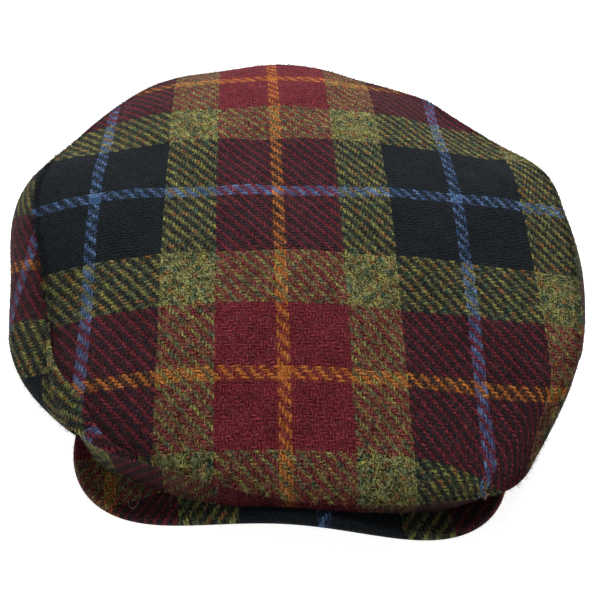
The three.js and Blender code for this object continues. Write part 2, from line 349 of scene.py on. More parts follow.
def newGroup(name, inputs, outputs):
    tree = bpy.data.node_groups.new(name, "ShaderNodeTree")
    for label, kind in inputs:
        tree.interface.new_socket(label, in_out="INPUT", socket_type=kind)
    for label, kind in outputs:
        tree.interface.new_socket(label, in_out="OUTPUT", socket_type=kind)
    return tree, tree.nodes.new("NodeGroupInput"), tree.nodes.new("NodeGroupOutput")


# one yarn's numbers and colours from its count in the sett, which is folded because the sett mirrors
def settGroup():
    numbers, colours = ("Loose", "Spread", "Tease"), ("Yarn", "Fleck", "Dark", "Odd", "Pale")
    found = [(label, "NodeSocketFloat") for label in numbers]
    found += [(label, "NodeSocketColor") for label in colours]
    tree, start, end = newGroup("settColour", [("Thread", "NodeSocketFloat")], found)
    folded = putMath(tree, "PINGPONG", start.outputs["Thread"], settHalf)
    folded = putMath(tree, "DIVIDE", folded, settHalf)
    for label in numbers + colours:
        values = [(row[label],) * 3 if label in numbers else row[label] for row in tweed]
        stops = [(row["first"] / settHalf, value) for row, value in zip(tweed, values)]
        tree.links.new(putSteps(tree, folded, stops), end.inputs[label])
    return tree


# lengths are in threads and noise scales per thread; a name with Loose at its end is what the looseness
# of the two crossing yarns adds to the number before it
twill = {
    "repeat": 4.0, "over": 2.0,  # threads in the pattern, and under one float
    "wanderScale": 0.3, "wander": 0.8,  # yarns stray from their lines
    "frayScale": 2.4, "fray": 0.5, "frayLoose": 0.6,  # and their edges fray
    "giveWay": 2.9,  # of two loose yarns, how far the looser gives way
    "arch": 0.7,  # share of a float's height lost at its ends
    "bendScale": 0.4, "bend": 2.0, "bendLoose": 1.0,  # strands of wool bend along the yarn
    "stripes": 1.2, "stripeRate": 2.0,  # how many strands lie side by side
    # wool spun in: label, noise scale, layer of the noise, values where it begins and where it is full
    "patches": [
        ("Fleck", 0.30, 3.0, 0.43, 0.60),
        ("Dark", 0.36, 11.0, 0.47, 0.34),
        ("Odd", 0.42, 19.0, 0.53, 0.66),
    ],
    "teaseScale": 1.5, "teaseRough": 0.6, "teased": (0.47, 0.66),
    "paleStrandsAndHighlight": 0.15,
    "depth": 0.55, "depthLoose": 0.24, "evenHeight": 0.78,  # shade of the hollows, height that has none
    "strands": 0.75, "strandsLoose": 1.0,  # light on the strands
    "between": 0.75, "betweenLoose": -0.33,  # and between them
    "cloudScale": 0.16, "cloud": 0.5,  # slow change of shade over the cloth
    # loose fibres along and across: layer of the noise, its scale, half the width of the line
    "fibres": [(29.0, 0.6, 0.04), (37.0, 0.5, 0.035)],
    "breakLayer": 43.0, "breakScale": 0.8, "breaks": (0.48, 0.56),
    "cover": 0.2, "coverLoose": 0.8,
    "strandHeight": 0.4,
}


# two-and-two twill in thread counts: the warp is on top where warp + weft number, modulo 4, is under 2
def weaveGroup(sett):
    tree, start, end = newGroup("twillWeave", [("Threads", "NodeSocketVector"), ("Tone", "NodeSocketFloat")],
                                [("Color", "NodeSocketColor"), ("Height", "NodeSocketFloat")])
    threads = start.outputs["Threads"]
    split = tree.nodes.new("ShaderNodeSeparateXYZ")
    tree.links.new(threads, split.inputs[0])

    def put(operation, *values):
        return putMath(tree, operation, *values)

    def byLoose(label, looseness):
        return put("MULTIPLY_ADD", looseness, twill[label + "Loose"], twill[label])

    def settOf(place):
        node = tree.nodes.new("ShaderNodeGroup")
        node.node_tree = sett
        tree.links.new(put("ADD", put("FLOOR", place), 0.5), node.inputs["Thread"])
        return node.outputs

    # 0 at the first limit, 1 at the second
    def between(value, low, high):
        node = tree.nodes.new("ShaderNodeMapRange")
        node.inputs["From Min"].default_value = low
        node.inputs["From Max"].default_value = high
        tree.links.new(value, node.inputs["Value"])
        return node.outputs[0]

    # both places moved by noise, by an amount in threads
    def shifted(scale, amount, places):
        parts = tree.nodes.new("ShaderNodeSeparateColor")
        tree.links.new(putNoise(tree, threads, scale, output="Color"), parts.inputs[0])
        moves = [put("SUBTRACT", parts.outputs[k], 0.5) for k in range(2)]
        return [put("MULTIPLY_ADD", move, amount, place) for move, place in zip(moves, places)]

    # yarns wander a little, and their edges fray the more, the more loosely they are spun
    wandered = shifted(twill["wanderScale"], twill["wander"], [split.outputs[0], split.outputs[1]])
    warpNear, weftNear = settOf(wandered[0]), settOf(wandered[1])
    loose = put("ADD", warpNear["Loose"], weftNear["Loose"])
    warpAt, weftAt = shifted(twill["frayScale"], byLoose("fray", loose), wandered)
    warpColours, weftColours = settOf(warpAt), settOf(weftAt)
    warp, weft = put("FLOOR", warpAt), put("FLOOR", weftAt)

    # a float starts and ends beyond its two crossings by as much as its yarn spreads more than the other,
    # but of two loose yarns the looser one gives way
    ahead = put("SUBTRACT", warpColours["Spread"], weftColours["Spread"])
    both = put("MULTIPLY", put("MULTIPLY", warpColours["Loose"], twill["giveWay"]), weftColours["Loose"])
    looserWeft = put("SUBTRACT", weftColours["Loose"], warpColours["Loose"])
    ahead = put("MULTIPLY_ADD", both, looserWeft, ahead)
    behind = put("MULTIPLY", ahead, -1.0)

    # place along a float, 0 where it comes up and 1 where it goes under
    def floatPlace(count, spread):
        place = put("FLOORED_MODULO", put("ADD", count, spread), twill["repeat"])
        return put("DIVIDE", place, put("MULTIPLY_ADD", spread, 2.0, twill["over"]))

    weftCount = put("ADD", put("ADD", warpAt, weft), twill["over"])
    warpPlace = floatPlace(put("ADD", warp, weftAt), put("MAXIMUM", ahead, 0.0))
    weftPlace = floatPlace(weftCount, put("MAXIMUM", behind, 0.0))
    warpUp = putMix(tree, put("LESS_THAN", ahead, 0.0), put("LESS_THAN", warpPlace, 1.0),
                    put("GREATER_THAN", weftPlace, 1.0), "FLOAT")

    # height of a float: round across the yarn, arched along its length
    def floatHeight(across, along):
        centred = put("MULTIPLY_ADD", put("FRACT", across), 2.0, -1.0)
        roundness = put("SQRT", put("SUBTRACT", 1.0, put("MULTIPLY", centred, centred)))
        arch = put("SQRT", put("MAXIMUM", put("SINE", put("MULTIPLY", along, math.pi)), 0.0))
        return put("MULTIPLY", roundness, put("MULTIPLY_ADD", arch, twill["arch"], 1 - twill["arch"]))

    height = putMix(tree, warpUp, floatHeight(weftAt, weftPlace), floatHeight(warpAt, warpPlace), "FLOAT")

    # strands of wool: stripes along the yarn on top, bent by noise the more, the more loosely it is spun
    bend = put("MULTIPLY", putNoise(tree, threads, twill["bendScale"], 1.0), byLoose("bend", loose))
    stripe = put("MULTIPLY_ADD", putMix(tree, warpUp, weftAt, warpAt, "FLOAT"), twill["stripes"], bend)
    strands = put("PINGPONG", put("MULTIPLY", stripe, twill["stripeRate"]), 1.0)
    strands = put("MULTIPLY", strands, strands)

    def onTop(label):
        return putMix(tree, warpUp, weftColours[label], warpColours[label])

    def layerNoise(places, layer, scale):
        return putNoise(tree, putVector(tree, *places, layer), scale, 1.0)

    # the yarn on top, blended from patches of wool, with some of the yarn under it teased through
    colour = onTop("Yarn")
    for label, scale, layer, low, high in twill["patches"]:
        colour = putMix(tree, between(layerNoise(wandered, layer, scale), low, high), colour, onTop(label))
    teased = between(putNoise(tree, threads, twill["teaseScale"], 2.0, twill["teaseRough"]), *twill["teased"])
    teased = put("MULTIPLY", teased, put("ADD", warpColours["Tease"], weftColours["Tease"]))
    colour = putMix(tree, teased, colour, putMix(tree, warpUp, warpColours["Yarn"], weftColours["Yarn"]))
    # pale wool on the crests of the strands, partly a painted highlight
    colour = putMix(tree, put("MULTIPLY", strands, twill["paleStrandsAndHighlight"]), colour, onTop("Pale"))

    def scaled(colour, number):
        grey = tree.nodes.new("ShaderNodeCombineColor")
        for k in range(3):
            tree.links.new(number, grey.inputs[k])
        return putMix(tree, 1.0, colour, grey.outputs[0], blend="MULTIPLY")

    # shade in the hollows of the weave and between the strands, and slowly over the cloth
    depth = byLoose("depth", loose)
    lit = put("MULTIPLY_ADD", height, depth, put("MULTIPLY_ADD", depth, -twill["evenHeight"], 1.0))
    onStrands = put("MULTIPLY_ADD", strands, byLoose("strands", loose), byLoose("between", loose))
    cloud = putNoise(tree, threads, twill["cloudScale"])
    clouded = put("MULTIPLY_ADD", cloud, twill["cloud"], 1 - twill["cloud"] / 2)
    colour = scaled(colour, put("MULTIPLY", put("MULTIPLY", lit, onStrands), clouded))

    # thin lines where a noise crosses its middle value
    def contour(places, layer, scale, width):
        fromMiddleValue = put("ABSOLUTE", put("SUBTRACT", layerNoise(places, layer, scale), 0.5))
        return between(fromMiddleValue, width, 0.0)

    # loose fibres of the looser yarn lie over all, broken into short lengths
    warpLooser = put("GREATER_THAN", warpNear["Loose"], weftNear["Loose"])
    looser = putMix(tree, warpLooser, weftNear["Pale"], warpNear["Pale"])
    along, across = twill["fibres"]
    over = put("MAXIMUM", contour(wandered, *along), contour(wandered[::-1], *across))
    whole = between(layerNoise(wandered, twill["breakLayer"], twill["breakScale"]), *twill["breaks"])
    cover = byLoose("cover", put("MULTIPLY", warpNear["Loose"], weftNear["Loose"]))
    colour = putMix(tree, put("MULTIPLY", put("MULTIPLY", over, whole), cover), colour, looser)
    tree.links.new(scaled(colour, start.outputs["Tone"]), end.inputs["Color"])
    tree.links.new(put("MULTIPLY_ADD", strands, twill["strandHeight"], height), end.inputs["Height"])
    return tree


# a material with values set on its shader
def shaderMaterial(name, values):
    material = bpy.data.materials.new(name)
    material.use_nodes = True
    shader = material.node_tree.nodes["Principled BSDF"]
    for label, value in values.items():
        shader.inputs[label].default_value = value
    return material, shader


tweedLook = {"Roughness": 0.95, "Specular IOR Level": 0.1, "Sheen Weight": 0.015, "Sheen Roughness": 0.5}
tweedBump = {"Strength": 0.55, "Distance": 0.0007}


# the weave on a piece's thread counts, at a tone lowered by painted shade where the piece's attribute says so
def tweedMaterial(name, weave, toneAndShade):
    material, shader = shaderMaterial(name, tweedLook)
    tree = material.node_tree
    places = tree.nodes.new("ShaderNodeUVMap")
    places.uv_map = "threads"
    # the piece's attribute carries painted shade: the share of the tone left, 1 where none is painted
    paintedShade = tree.nodes.new("ShaderNodeAttribute")
    paintedShade.attribute_name = "unshaded"
    group = tree.nodes.new("ShaderNodeGroup")
    group.node_tree = weave
    tree.links.new(places.outputs[0], group.inputs["Threads"])
    tree.links.new(putMath(tree, "MULTIPLY", paintedShade.outputs["Fac"], toneAndShade), group.inputs["Tone"])
    tree.links.new(group.outputs["Color"], shader.inputs["Base Color"])
    raised = tree.nodes.new("ShaderNodeBump")
    for label, value in tweedBump.items():
        raised.inputs[label].default_value = value
    tree.links.new(group.outputs["Height"], raised.inputs["Height"])
    tree.links.new(raised.outputs[0], shader.inputs["Normal"])
    return material


sett = settGroup()
weave = weaveGroup(sett)
# the side panels, band and peak are the same cloth at lower tones: painted shade
topTweed = tweedMaterial("topTweed", weave, toneAndShade=0.95)
sideTweed = tweedMaterial("sideTweed", weave, toneAndShade=0.85)
bandTweed = tweedMaterial("bandTweed", weave, toneAndShade=0.66)
peakTweed = tweedMaterial("peakTweed", weave, toneAndShade=0.85)
print("tweed shaders ready")

topPanel = {
    "columns": 360, "rings": 130, "innerRings": 24,
    "roll": 1.2, "rollTurn": 100.0, "rollRows": 7,  # radius of the rolled edge, degrees that it turns to
    # painted shade on the front near the seam: how much darker, share where it starts, power of its rise,
    # then the bearings of its middle, its reach and its fade
    "paintedShade": 0.40, "shadeFrom": 0.82, "shadePower": 1.5,
    "shadeMiddle": -15.0, "shadeTo": 95.0, "shadeFade": 40.0,  # bearings
}


# rows of points turning over the seam: a small circle from the top's own slope down past upright
def rolledEdge(bearing, edge, slope):
    steps = np.linspace(0, 1, topPanel["rollRows"] + 1)[1:, None]
    turn = slope + (math.radians(topPanel["rollTurn"]) - slope) * steps
    out = topPanel["roll"] * (np.sin(turn) - np.sin(slope))
    down = topPanel["roll"] * (np.cos(slope) - np.cos(turn))
    angle = np.radians(bearing)
    return np.stack([edge[0] + out * np.sin(angle), edge[1] - out * np.cos(angle), edge[2] - down], -1)


topBearings = np.arange(topPanel["columns"]) * 360.0 / topPanel["columns"]
ringShares = np.sin(np.linspace(0, 1, topPanel["rings"] + 1) * np.pi / 2)[:, None]
innerShares = np.sin(np.linspace(0, 1, topPanel["innerRings"] + 1) * np.pi / 2)[:, None]
domeFace = np.stack(topSurface(topBearings[None, :], ringShares), -1)
lastStep = np.linalg.norm(domeFace[-1, :, :2] - domeFace[-3, :, :2], axis=-1)
seamSlope = np.arctan2(domeFace[-3, :, 2] - domeFace[-1, :, 2], lastStep)
rollFace = rolledEdge(topBearings, domeFace[-1].T, seamSlope)
topOuter = np.concatenate([domeFace, rollFace])
topInner = np.stack(topSurface(topBearings[None, :], innerShares, 1.0), -1)
rollDrop = topPanel["roll"] * (np.cos(seamSlope) - math.cos(math.radians(topPanel["rollTurn"])))
# painted shade on the front edge, darkest at the seam and fading round the sides
fromFront = np.abs(turnFrom(topBearings, topPanel["shadeMiddle"]))
shadeAcrossFront = np.clip((topPanel["shadeTo"] - fromFront) / topPanel["shadeFade"], 0, 1)
seamShare = fromMiddle(topOuter[..., 0], topOuter[..., 1])[1]
towardsSeam = np.clip((seamShare - topPanel["shadeFrom"]) / (1 - topPanel["shadeFrom"]), 0, 1)
paintedEdgeShade = topPanel["paintedShade"] * shadeAcrossFront * towardsSeam ** topPanel["shadePower"]
topUnshaded = np.concatenate([(1 - paintedEdgeShade).ravel(), np.ones(topInner.size // 3)])
topCounts = topThreads(topOuter[..., 0], topOuter[..., 1])
innerCounts = topThreads(topInner[..., 0], topInner[..., 1])
shellPiece("capTop", topOuter, topInner, topCounts, innerCounts, topTweed, "top_panel",
           wrap=True, pole=True, unshaded=topUnshaded)

rim = {"halfWidth": 90.0, "halfLength": 92.0, "y": 12.0, "hem": 4.0}
peak = {
    "x": 4.2, "turn": 1.8, "halfWidth": 85.3, "widestY": -69.0, "depth": 58.5, "bluntness": 2.8,
    "thickness": 4.0, "lift": 17.5, "arch": 2.5, "slope": 0.15,
    "end": 73.0, "step": 0.7, "floorStep": 1.5,  # the wall is on the floor so many steps past the end
    "columns": 180, "boardRows": 40, "noseRows": 8, "halvings": 40,
    "threadShift": (61.6, 43.0, 12.0, -110.0),  # thread counts and the place on the peak where they are met
    "threadTurn": 10.0,  # degrees that the cloth is turned there
}
band = {
    "end": 48.0, "inset": 4.5, "share": 0.45, "gap": 0.3, "columns": 200, "rows": 16,
    "swellLeft": 5.3, "swellRight": 8.8, "swellEnd": 60.0, "swellPower": 3,
    "shadeBearings": (-36.0, -8.0), "paintedShade": 0.5,  # bearings where the painted shade begins and is full, share of the tone left under it
}
side = {
    "columns": 260, "rows": 40, "seamAngle": 0.1, "backAngle": 0.03, "seamGap": 0.3,
    "tuck": 0.5, "tuckWidth": 1.6,
}


# reach of the head opening's oval from the crown's middle: the far root of the ray in the oval
def rimReach(bearing):
    dx = np.sin(np.radians(bearing)) / rim["halfWidth"]
    dy = -np.cos(np.radians(bearing)) / rim["halfLength"]
    ox = crown["middle"][0] / rim["halfWidth"]
    oy = (crown["middle"][1] - rim["y"]) / rim["halfLength"]
    a, b, c = dx * dx + dy * dy, dx * ox + dy * oy, ox * ox + oy * oy - 1
    return (np.sqrt(b * b - a * c) - b) / a


def inPeak(x, y):
    turn = math.radians(peak["turn"])
    return ((x - peak["x"]) * math.cos(turn) - y * math.sin(turn),
            (x - peak["x"]) * math.sin(turn) + y * math.cos(turn))


# reach of the peak's outline: a superellipse in front and straight sides behind, found by halving
def peakReach(bearing):
    inside = np.zeros_like(np.asarray(bearing, float))
    outside = np.full_like(inside, 2 * peak["halfWidth"])
    for halving in range(peak["halvings"]):
        middle = (inside + outside) / 2
        x, y = inPeak(*planPlace(bearing, middle))
        ahead = np.maximum(0, (peak["widestY"] - y) / peak["depth"])
        within = (np.abs(x) / peak["halfWidth"]) ** peak["bluntness"] + ahead ** peak["bluntness"] < 1
        inside = np.where(within, middle, inside)
        outside = np.where(within, outside, middle)
    return inside


# middle of the board: arched along its edge and rising from the edge to the root
def peakHeight(bearing, reach):
    edge = peakReach(bearing)
    across = inPeak(*planPlace(bearing, edge))[0] / peak["halfWidth"]
    arched = peak["lift"] * np.maximum(0, 1 - across ** 2) ** peak["arch"]
    return peak["thickness"] / 2 + arched + peak["slope"] * (edge - reach)


# foot of the upright walls: on the peak in front, on the floor round the rest
def wallFoot(bearing):
    turned = np.mod(bearing, 360)
    fromFront = np.minimum(turned, 360 - turned)
    onFloor = fromFront > peak["end"] + peak["floorStep"] * peak["step"]
    most = np.where(np.sin(np.radians(bearing)) > 0, band["swellLeft"], band["swellRight"])
    swell = most * np.sin(np.minimum(1, fromFront / band["swellEnd"]) * np.pi) ** band["swellPower"]
    rimAt, edge = rimReach(bearing), peakReach(bearing)
    onPeak = edge - np.minimum(band["inset"] + swell, band["share"] * (edge - rimAt))
    seat = peakHeight(bearing, onPeak) + peak["thickness"] / 2 + band["gap"]
    return (np.where(onFloor, rimAt + rim["hem"], onPeak), np.where(onFloor, 0.0, seat),
            np.where(onFloor, 0.0, peak["slope"]))


# upright wall: reach is the parabola through seam, bulge and foot, height falls evenly from seam to foot;
# its ends and its top are tucked in by a bell curve where the seams pull
def wallSurface(bearing, drop, inset, swells):
    seamZ, seam = seamLine(bearing)
    rolled = np.interp(np.mod(bearing, 360), topBearings, rollDrop, period=360)
    topLine = seamZ - rolled - side["seamGap"]
    footReach, footHeight, footSlope = wallFoot(bearing)
    bulge = alongSections(bulgeColumn, bearing) if swells else (seam + footReach) / 2
    atSeam, atFoot = seam * (1 - drop) * (1 - 2 * drop), footReach * drop * (2 * drop - 1)
    reach = atSeam + 4 * bulge * drop * (1 - drop) + atFoot
    lean = seam * (4 * drop - 3) + bulge * (4 - 8 * drop) + footReach * (4 * drop - 1)
    leaning = np.hypot(1, lean / (topLine - footHeight))
    thick = inset * crown["cloth"] * np.minimum(crown["steepestWall"], leaning)
    fromTop = drop * (topLine - footHeight)
    turnFromEnd = np.minimum(np.abs(bearing - bearing.min()), np.abs(bearing.max() - bearing))
    fromEnd = turnFromEnd * np.radians(1) * reach
    tuck = np.exp(-(fromTop / side["tuckWidth"]) ** 2) * swells + np.exp(-(fromEnd / side["tuckWidth"]) ** 2)
    x, y = planPlace(bearing, reach - thick - side["tuck"] * np.minimum(tuck, 1))
    return np.stack([x, y, topLine + (footHeight - topLine) * drop + drop * footSlope * thick], -1)


# lengths along the rows of a grid of points, from its first row
def lengthDown(points):
    steps = np.linalg.norm(np.diff(points, axis=0), axis=-1)
    return np.concatenate([np.zeros((1, *steps.shape[1:])), np.cumsum(steps, axis=0)])


# thread counts on an upright wall: run along its middle line and fall from the seam, turned by the cut
def wallThreads(face, grain, bearings):
    run = lengthDown(face[face.shape[0] // 2])
    run = run - (run[-1] / 2 if grain["fromMiddle"] else grain["run"])
    fall = lengthDown(face)
    turn = math.radians(grain["turn"])
    warp = run * math.cos(turn) + fall * math.sin(turn)
    weft = fall * math.cos(turn) - run * math.sin(turn)
    if "joinedTo" in grain:
        warp = warp + np.where(bearings < grain["joinedTo"], grain["joinedRun"], 0)
        weft = weft + np.where(bearings < grain["joinedTo"], grain["joinedFall"], 0)
    warp, weft = grain["warp"] + warp / cloth["pitchAcross"], grain["weft"] + weft / cloth["pitchAlong"]
    return np.stack([warp, weft], -1)


def uprightPiece(name, bearings, rows, swells, grain, material, node, unshaded=None):
    drops = (0.5 - 0.5 * np.cos(np.linspace(0, 1, rows + 1) * np.pi))[:, None]
    outer = wallSurface(bearings[None, :], drops, 0.0, swells)
    inner = wallSurface(bearings[None, :], drops, 1.0, swells)
    threads = wallThreads(outer, grain, bearings)
    shellPiece(name, outer, inner, threads, threads, material, node,
               unshaded=None if unshaded is None else np.tile(unshaded, 2 * (rows + 1)))
    return outer, threads


# bearings of one side panel, a fifth of them on the peak, with the step off the peak's end kept sharp
def sideBearings():
    onPeak = np.linspace(band["end"] + side["seamAngle"], peak["end"] + peak["step"], side["columns"] // 5)
    onFloor = np.linspace(peak["end"] + 2 * peak["step"], 180 - side["backAngle"], side["columns"] * 4 // 5)
    return np.concatenate([onPeak, onFloor])


leftGrain = {"fromMiddle": False, "run": 125.0, "turn": 0.0, "warp": 47.0, "weft": 38.0}
rightGrain = {"fromMiddle": False, "run": 226.0, "turn": 32.0, "warp": 0.0, "weft": 53.0}
# the band is pieced at its right end, with cloth cut from lower down
bandGrain = {"fromMiddle": True, "turn": 0.0, "warp": 0.0, "weft": 8.0,
             "joinedTo": -35.0, "joinedFall": 31.0, "joinedRun": 38.0}
leftBearings = sideBearings()
rightBearings = 360 - leftBearings[::-1]
bandBearings = np.linspace(-band["end"] + side["seamAngle"], band["end"] - side["seamAngle"], band["columns"])
# painted shade on the band, all along but at its right end
bandUnshaded = np.interp(bandBearings, band["shadeBearings"], (1.0, band["paintedShade"]))
leftFace = uprightPiece("capSideLeft", leftBearings, side["rows"], True, leftGrain,
                        sideTweed, "side_panel_left")
rightFace = uprightPiece("capSideRight", rightBearings, side["rows"], True, rightGrain,
                         sideTweed, "side_panel_right")
bandFace = uprightPiece("capBand", bandBearings, band["rows"], False, bandGrain,
                        bandTweed, "front_band", bandUnshaded)

# inside the upright seams the edges of the cloth are turned in and pressed flat, which closes the joints
turnedIn = {
    # name, bearing, how many cloths in
    "seams": [("capBackSeam", 180.0, 1.4), ("capLeftSeam", 48.0, 2.0), ("capRightSeam", 312.0, 2.0)],
    "half": 3.0, "columns": 14, "rows": 40, "top": 0.03, "foot": 0.998, "thick": 0.5,
}
turnedInGrain = {"fromMiddle": True, "turn": 0.0, "warp": 12.0, "weft": 8.0}


# the wall's own surface over a few degrees, moved in by so many cloths
def turnedInPiece(name, middle, inset):
    bearings = np.linspace(middle - turnedIn["half"], middle + turnedIn["half"], turnedIn["columns"])
    drops = np.linspace(turnedIn["top"], turnedIn["foot"], turnedIn["rows"])[:, None]
    outer = wallSurface(bearings[None, :], drops, inset, True)
    inner = wallSurface(bearings[None, :], drops, inset + turnedIn["thick"], True)
    threads = wallThreads(outer, turnedInGrain, bearings)
    shellPiece(name, outer, inner, threads, threads, sideTweed, None)


for name, middle, inset in turnedIn["seams"]:
    turnedInPiece(name, middle, inset)

# at the front corner the right side panel laps over the edge of the top
lap = {
    "from": 292.0, "to": 332.0, "columns": 110, "rows": 14,
    "middle": 313.5, "width": 9.5, "most": 0.057, "least": 0.003,  # its depth, in shares of the top
    "gap": 0.25, "cloth": 0.8, "thinRows": 4,
    "rateColumns": 8,  # columns of the panel over which the rate of its threads is taken
}


# thread counts go on upwards from the panel's top row, and on at the same rate past its end
def lapPiece():
    bearings = np.linspace(lap["from"], lap["to"], lap["columns"])
    depth = lap["least"] + lap["most"] * np.exp(-((bearings - lap["middle"]) / lap["width"]) ** 2)
    shares = 1 - depth * np.linspace(1, 0, lap["rows"] + 1)[:, None]
    dome = np.stack(topSurface(bearings[None, :], shares), -1)
    slope = np.interp(bearings, topBearings, seamSlope)
    face = np.concatenate([dome, rolledEdge(bearings, dome[-1].T, slope)])
    normal = unit(np.cross(np.gradient(face, axis=0), np.gradient(face, axis=1)))
    thick = lap["cloth"] * np.minimum(1, (np.arange(len(face)) + 1) / lap["thinRows"])[:, None, None]
    rise = lengthDown(face[::-1])[::-1]
    panel, top, before = rightBearings, rightFace[1][0], -1 - lap["rateColumns"]
    rate = (top[-1] - top[before]) / (panel[-1] - panel[before])
    start = np.stack([np.interp(bearings, panel, top[:, k]) for k in range(2)], -1)
    start = start + np.maximum(bearings - panel[-1], 0)[:, None] * rate
    turn = math.radians(rightGrain["turn"])
    upwards = np.array([math.sin(turn) / cloth["pitchAcross"], math.cos(turn) / cloth["pitchAlong"]])
    threads = start - rise[..., None] * upwards
    outer, inner = face + normal * (lap["gap"] + thick), face + normal * lap["gap"]
    shellPiece("capSideRightLap", outer, inner, threads, threads, sideTweed, None)
    return outer, threads


lapFace = lapPiece()


# peak: middle of the board, with half its thickness above and below and a round nose
def peakFace(bearing, share, up):
    root, edge = rimReach(bearing), peakReach(bearing)
    reach = root + (edge - root) * share
    nose = np.clip(1 - (edge - reach) / (peak["thickness"] / 2), 0, 1)
    half = peak["thickness"] / 2 * np.sqrt(1 - nose ** 2)
    x, y = planPlace(bearing, reach)
    return np.stack([x, y, peakHeight(bearing, reach) + up * half], -1)


peakBearings = np.linspace(-peak["end"], peak["end"], peak["columns"])
noseShare = peak["thickness"] / 2 / (peakReach(peakBearings) - rimReach(peakBearings))
boardShares = np.linspace(0, 1, peak["boardRows"], endpoint=False)[:, None] * (1 - noseShare)
noseShares = 1 - noseShare * (1 - np.sin(np.linspace(0, 1, peak["noseRows"] + 1) * np.pi / 2))[:, None]
peakShares = np.concatenate([boardShares, noseShares])
peakTop = peakFace(peakBearings[None, :], peakShares, 1.0)
peakUnder = peakFace(peakBearings[None, :], peakShares, -1.0)


# length over the arched board, from its right end, against the place across it
edgeRow = peakTop[peak["boardRows"] - 1]
acrossBoard = np.maximum.accumulate(inPeak(edgeRow[:, 0], edgeRow[:, 1])[0])
overBoard = np.concatenate([[0], np.cumsum(np.hypot(np.diff(acrossBoard), np.diff(edgeRow[:, 2])))])


# thread counts on the peak: across and forward in the peak's own directions, turned by the cut of the cloth
def peakThreads(face):
    x, y = inPeak(face[..., 0], face[..., 1])
    warp, weft, atX, atY = peak["threadShift"]
    x, atX = np.interp(x, acrossBoard, overBoard), np.interp(atX, acrossBoard, overBoard)
    turn = math.radians(peak["threadTurn"])
    across = (x - atX) * math.cos(turn) - (atY - y) * math.sin(turn)
    ahead = (atY - y) * math.cos(turn) + (x - atX) * math.sin(turn)
    return np.stack([warp + across / cloth["pitchAcross"], weft + ahead / cloth["pitchAlong"]], -1)


# the nose row is shared by both faces, so the board closes on itself there
def peakPiece():
    rows, columns = peakTop.shape[:2]
    first = np.arange(rows * columns).reshape(rows, columns)
    second = rows * columns + first
    second[-1] = first[-1]
    quads = [gridQuads(first), gridQuads(second, flip=True)]
    quads.append(gridQuads(np.stack([second[0], first[0]])))
    quads.append(gridQuads(np.stack([second[:, 0], first[:, 0]], 1)))
    quads.append(gridQuads(np.stack([first[:, -1], second[:, -1]], 1)))
    points = np.concatenate([peakTop.reshape(-1, 3), peakUnder.reshape(-1, 3)])
    threads = np.concatenate([peakThreads(peakTop).reshape(-1, 2), peakThreads(peakUnder).reshape(-1, 2)])
    makePiece("capPeak", points, np.concatenate(quads), threads, peakTweed, "peak")


peakPiece()
print("cap pieces made")

# wool fibres; angles are in radians, and stand is how much more upright they are on a piece
fuzz = {
    "seed": 5, "samples": 3, "radius": 0.065, "taper": 0.7, "rooted": 0.15, "lowest": 0.1, "seamRows": 24,
    "length": (0.9, 3.4), "shorten": (0.4, 1.0),
    "lean": (0.15, 0.9), "bend": (-0.4, 0.5), "twist": (-1.2, 1.2),
    "count": {"topFuzz": 13500, "seamFuzz": 9000, "leftFuzz": 7000, "rightFuzz": 7000,
              "bandFuzz": 700, "peakFuzz": 2200, "lapFuzz": 160},
    "stand": {"seamFuzz": 0.45, "leftFuzz": 0.3, "rightFuzz": 0.3},
}


# three-sided tubes closed at both ends, along paths given as one row of places for each tube
def tubeGrid(path, sideways, radius):
    heading = unit(np.gradient(path, axis=1))
    first = unit(np.cross(sideways, heading))
    second = np.cross(heading, first)
    angle = np.arange(3) * 2 * np.pi / 3
    ring = np.cos(angle)[:, None] * first[:, :, None] + np.sin(angle)[:, None] * second[:, :, None]
    tubes = path[:, :, None] + radius[..., None] * ring
    index = np.arange(path.shape[0] * path.shape[1] * 3).reshape(*path.shape[:2], 3)
    ahead = np.roll(index, -1, axis=2)
    walls = np.stack([index[:, :-1], ahead[:, :-1], ahead[:, 1:], index[:, 1:]], -1).reshape(-1, 4)
    ends = np.concatenate([index[:, 0, ::-1], index[:, -1]])
    return tubes.reshape(-1, 3), np.concatenate([walls, np.concatenate([ends, ends[:, :1]], axis=1)])


